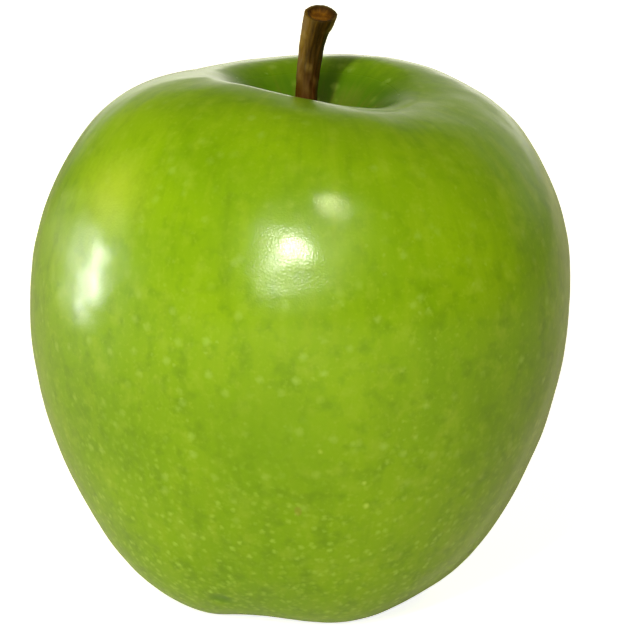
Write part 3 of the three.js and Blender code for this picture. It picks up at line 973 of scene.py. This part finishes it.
# Dried stamen: brittle thread, nearly black in the depth of the eye and dull brown at its end
dead_thread = bpy.data.materials.new("dried_stamen")
tree = shader_tree(dead_thread)
place = add(tree, "ShaderNodeTexCoord").outputs["Object"]
height = add(tree, "ShaderNodeSeparateXYZ", [place]).outputs["Z"]
speckle = add(tree, "ShaderNodeTexNoise", {"Vector": place, "Scale": 1 / (0.5 * MM), "Detail": 3.0})
tips = add(tree, "ShaderNodeMapRange", [height, 5.2 * MM, 3.8 * MM, 0.0, 0.6])
tips = add(tree, "ShaderNodeMath", [speckle, 0.5, tips], operation="MULTIPLY_ADD")
tint = add(
    tree,
    "ShaderNodeMix",
    {"Factor": tips, "A": colour("#1C120A"), "B": colour("#6E5430")},
    data_type="RGBA",
)
bump = add(tree, "ShaderNodeBump", {"Strength": 0.6, "Distance": 0.06 * MM, "Height": speckle})
brittle = add(
    tree, "ShaderNodeBsdfPrincipled", {"Base Color": tint, "Roughness": 0.8, "Normal": bump}
)
add(tree, "ShaderNodeOutputMaterial", [brittle])

stamens = grow("stamen_tuft", bpy.data.node_groups["stamens"], dead_thread, STAMEN_SIZES)
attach(stamens, "root")
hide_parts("stamens")

# ---- Floor, lights and camera -----------------------------------------------------------------
# A plain white table top, lit by a shaded lamp over the camera's left shoulder, by a curtained
# window to the left, and by the walls and the dim air of a pale room. The camera has a long lens,
# a little above the apple.

paint = bpy.data.materials.new("matt_white_paint")
tree = shader_tree(paint)
# The camera sees it as a lit white ground, brighter than the light that it gives back to the apple
seen = add(tree, "ShaderNodeLightPath").outputs["Is Camera Ray"]
glow = add(tree, "ShaderNodeMath", [seen, 0.88], operation="MULTIPLY")
matt = add(
    tree,
    "ShaderNodeBsdfPrincipled",
    {
        "Base Color": colour("#F5F0C0"),
        "Roughness": 0.8,
        "Emission Color": colour("#FFFFFF"),
        "Emission Strength": glow,
    },
)
add(tree, "ShaderNodeOutputMaterial", [matt])
# A square, wide enough for every view, from its middle to its side in metres
HALF_TOP = 3.0
sides = ((-1, -1), (1, -1), (1, 1), (-1, 1))
table_top = bpy.data.meshes.new("table_top")
table_top.from_pydata([(x * HALF_TOP, y * HALF_TOP, 0) for x, y in sides], [], [(0, 1, 2, 3)])
table_top.materials.append(paint)
floor = bpy.data.objects.new("table_top", table_top)
bpy.context.scene.collection.objects.link(floor)

# Each: the place on the apple that it shows in, in millimetres, the direction from there, how far
# away it is, its width and its height, in metres, its turn about its own axis in degrees, its power
# in watts and its colour. The two fills stand for light off the room's walls, too even to mirror,
# and the glints for small bright things, too small to light the apple.
LAMPS = (
    ("lamp", (-1.3, -35.3, 57.3), (-0.21, -0.862, 0.455), 0.9, 0.08, 0.14, -35, 3.3, "#FFFFFF"),
    ("shade", (-1.3, -35.3, 57.3), (-0.24, -0.87, 0.41), 0.92, 0.45, 0.28, 24, 0.5, "#FFFFF4"),
    ("wide_shade", (-1.3, -35.3, 57.3), (0.0, -0.84, 0.52), 0.94, 1.2, 0.95, 24, 2.0, "#FFFFD0"),
    ("lamp_below", (-3.5, -35.7, 55.2), (-0.33, -0.885, 0.34),
     0.9, 0.13, 0.34, -45, 1.0, "#FFFFFF"),
    ("window", (-27.7, -22.0, 53.0), (-0.975, 0.24, 0.03), 0.4, 0.34, 0.15, 0, 0.09, "#FFFFFF"),
    ("curtain", (-27.7, -22.0, 53.0), (-0.978, 0.22, 0.06), 0.42, 0.4, 0.24, 0, 0.2, "#FFFFF4"),
    ("far_curtain", (-34.0, -12.0, 45.0), (-0.8, 0.6, -0.15), 0.8, 0.7, 0.6, 0, 0.5, "#FFFFE8"),
    ("pale_wall", (0.0, 0.0, 75.0), (0.25, 0.92, 0.26), 1.3, 4.0, 1.3, 0, 2.1, "#FFFFE4"),
    ("low_wall", (0.0, 0.0, 75.0), (0.04, 1.0, 0.06), 1.4, 2.0, 0.4, 0, 0.95, "#FFFFEC"),
    ("left_fill", (0.0, 0.0, 40.0), (-0.97, -0.1, 0.0), 1.0, 1.2, 1.2, 0, 3.2, "#FFFFF4"),
    ("back_fill", (0.0, 0.0, 40.0), (0.35, 0.9, 0.15), 1.2, 1.6, 1.2, 0, 4.2, "#FFFFF4"),
    ("small_glint", (4.2, -32.7, 62.8), (0.135, -0.605, 0.78), 1.0, 0.09, 0.03, 0, 1.5, "#FFFFD8"),
    ("glint_above", (-26.7, -22.4, 55.2), (-0.98, 0.165, 0.035),
     0.38, 0.03, 0.03, 0, 0.11, "#FFFFFF"),
    ("glint_below", (-27.8, -22.5, 50.5), (-0.98, 0.19, -0.072),
     0.38, 0.04, 0.025, 0, 0.16, "#FFFFFF"),
)
# Every lamp is brightest in its middle and soft at its edge. Such a lamp gives three tenths of what
# an even one would, so its glow is divided by that.
EVENNESS = 0.3
for name, seen_at, direction, distance, width, tall, turn, power, code in LAMPS:
    light = bpy.data.lights.new(name, "AREA")
    light.shape = "ELLIPSE"
    light.size = width
    light.size_y = tall
    light.energy = power
    light.color = colour(code)[:3]
    tree = shader_tree(light)
    across = add(tree, "ShaderNodeNewGeometry").outputs["Parametric"]
    off_middle = add(tree, "ShaderNodeVectorMath", [across, (0.5, 0.5, 0.0)], operation="DISTANCE")
    off_middle = off_middle.outputs["Value"]
    glow = add(tree, "ShaderNodeMapRange", [off_middle, 0.5, 0.0, 0.0, 1 / EVENNESS], **SOFT)
    shining = add(tree, "ShaderNodeEmission", {"Strength": glow})
    add(tree, "ShaderNodeOutputLight", [shining])
    lamp = bpy.data.objects.new(name, light)
    away = Vector(direction).normalized()
    lamp.location = Vector(seen_at) * MM + away * distance
    facing = away.to_track_quat("Z", "Y") @ Quaternion((0, 0, 1), math.radians(turn))
    lamp.rotation_euler = facing.to_euler()
    lamp.visible_camera = False
    lamp.visible_glossy = not name.endswith("_fill")
    lamp.visible_diffuse = "glint" not in name
    bpy.context.scene.collection.objects.link(lamp)

room = bpy.data.worlds.new("pale_room")
tree = shader_tree(room)
air = add(tree, "ShaderNodeBackground", {"Color": colour("#F6F0B8"), "Strength": 0.1})
add(tree, "ShaderNodeOutputWorld", [air])
bpy.context.scene.world = room

# The camera, 450 mm from its target and 14 degrees above it, with film and lens in millimetres. Its
# view is shifted by a few pixels, of the 628 that the frame's longer side has.
TARGET = Vector((0.742, 0.247, 38.3)) * MM
ELEVATION = math.radians(14)
DISTANCE = 450 * MM
FILM_WIDTH = 36.0
FOCAL_LENGTH = 182.6
PIXELS_ACROSS, PIXELS_UP, FRAME_PIXELS = 7.8, 14.4, 628
NEAREST = 50 * MM
camera = bpy.data.cameras.new("camera")
camera.sensor_width = FILM_WIDTH
camera.lens = FOCAL_LENGTH
camera.shift_x = PIXELS_ACROSS / FRAME_PIXELS
camera.shift_y = PIXELS_UP / FRAME_PIXELS
camera.clip_start = NEAREST
viewer = bpy.data.objects.new("camera", camera)
towards = Vector((0.0, math.cos(ELEVATION), -math.sin(ELEVATION)))
viewer.location = TARGET - towards * DISTANCE
viewer.rotation_euler = towards.to_track_quat("-Z", "Y").to_euler()
bpy.context.scene.collection.objects.link(viewer)
bpy.context.scene.camera = viewer
bpy.context.scene.view_settings.view_transform = "Standard"
